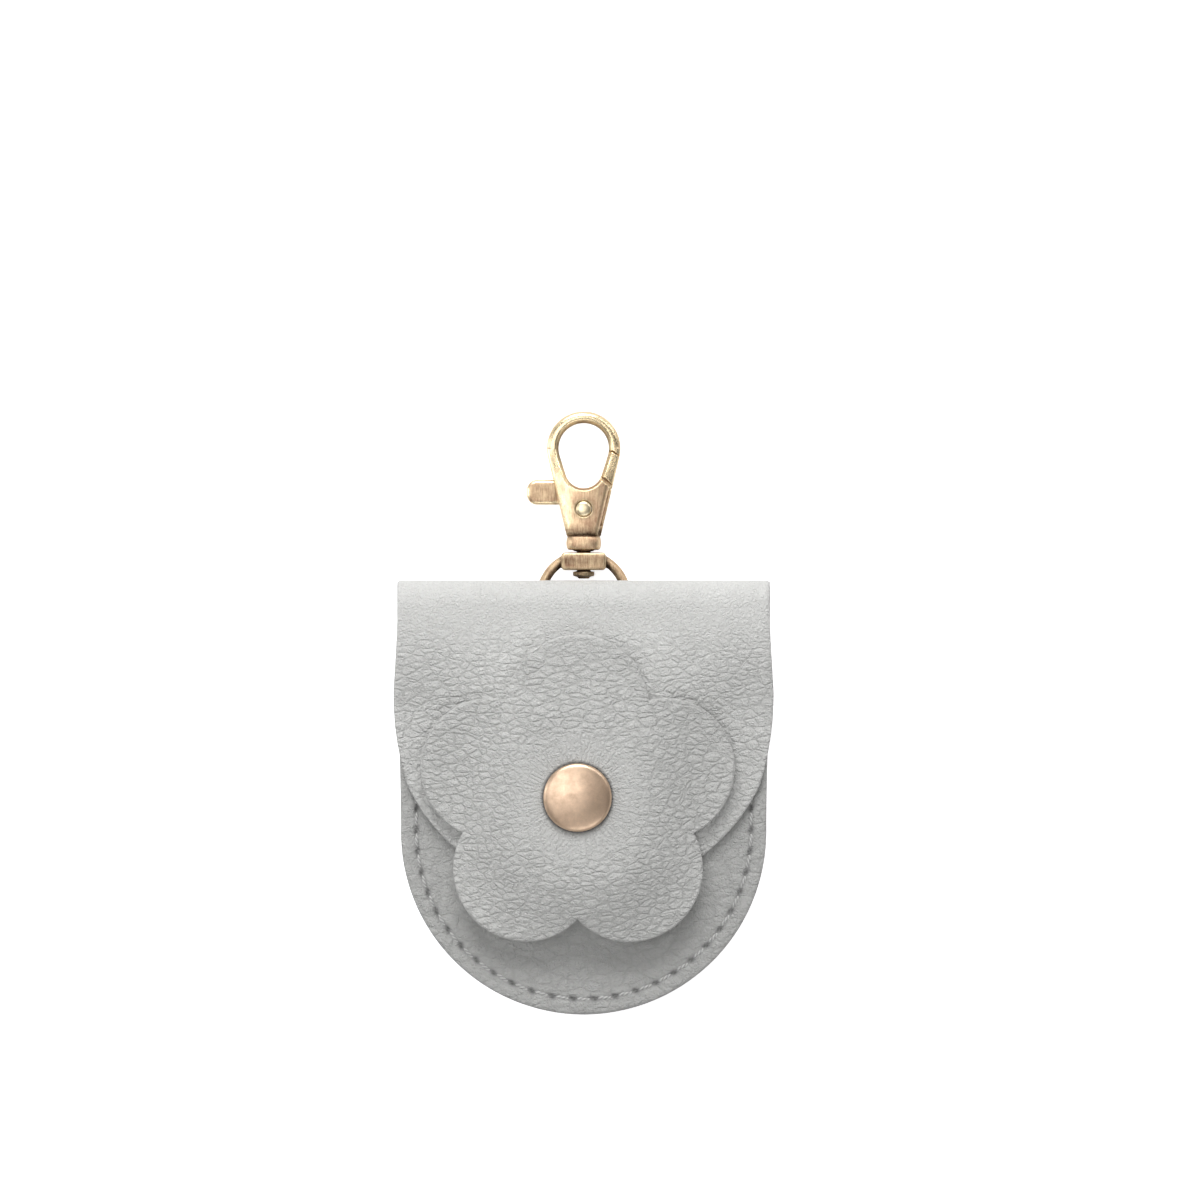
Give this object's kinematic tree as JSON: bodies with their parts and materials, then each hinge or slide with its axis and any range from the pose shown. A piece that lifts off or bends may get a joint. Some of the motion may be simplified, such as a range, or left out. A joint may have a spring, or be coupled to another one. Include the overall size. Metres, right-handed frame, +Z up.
{
  "type": "leather key ring pouch with snap flap and swivel clasp",
  "caption": "Small stitched leather pouch with a folded flap, a flower under its snap cap and a swivel lobster clasp on a ring at the back.",
  "frame": {"origin": "middle of the whole outline, on the table under the pouch", "axes": "+Y from the pouch to the clasp, +X to the right seen from the front, +Z up from the table and out of the flap"},
  "size_m": [0.0848, 0.1338, 0.0204],
  "materials": {
    "leather": "soft pebbled grain, satin",
    "brass": "brushed antique brass",
    "cap_metal": "satin antique bronze"
  },
  "bodies": {
    "pouch": {"back_and_flap": "leather", "front_panel": "leather", "flower": "leather", "hang_keeper": "leather", "snap_cap": "cap_metal", "snap_socket": "brass", "snap_stud": "brass"},
    "loop": {"swivel_loop": "brass"},
    "hook": {"hook": "brass", "trigger_pin": "brass"},
    "lever": {"trigger": "brass"}
  },
  "joints": [
    {"name": "loop_swing", "type": "hinge", "parent": "pouch", "child": "loop", "pos_m": [0, 0.01585, 0.003], "axis": [-1, 0, 0], "range_deg": [0, 140]},
    {"name": "hook_swivel", "type": "hinge", "parent": "loop", "child": "hook", "pos_m": [0, 0.0335, 0.003], "axis": [0, 1, 0], "continuous": true},
    {"name": "trigger_turn", "type": "hinge", "parent": "hook", "child": "lever", "pos_m": [0, 0.04515, 0.003], "axis": [0, 0, 1], "range_deg": [0, 22], "stiffness_Nm_per_rad": 0.02, "springref_deg": -17.19}
  ]
}
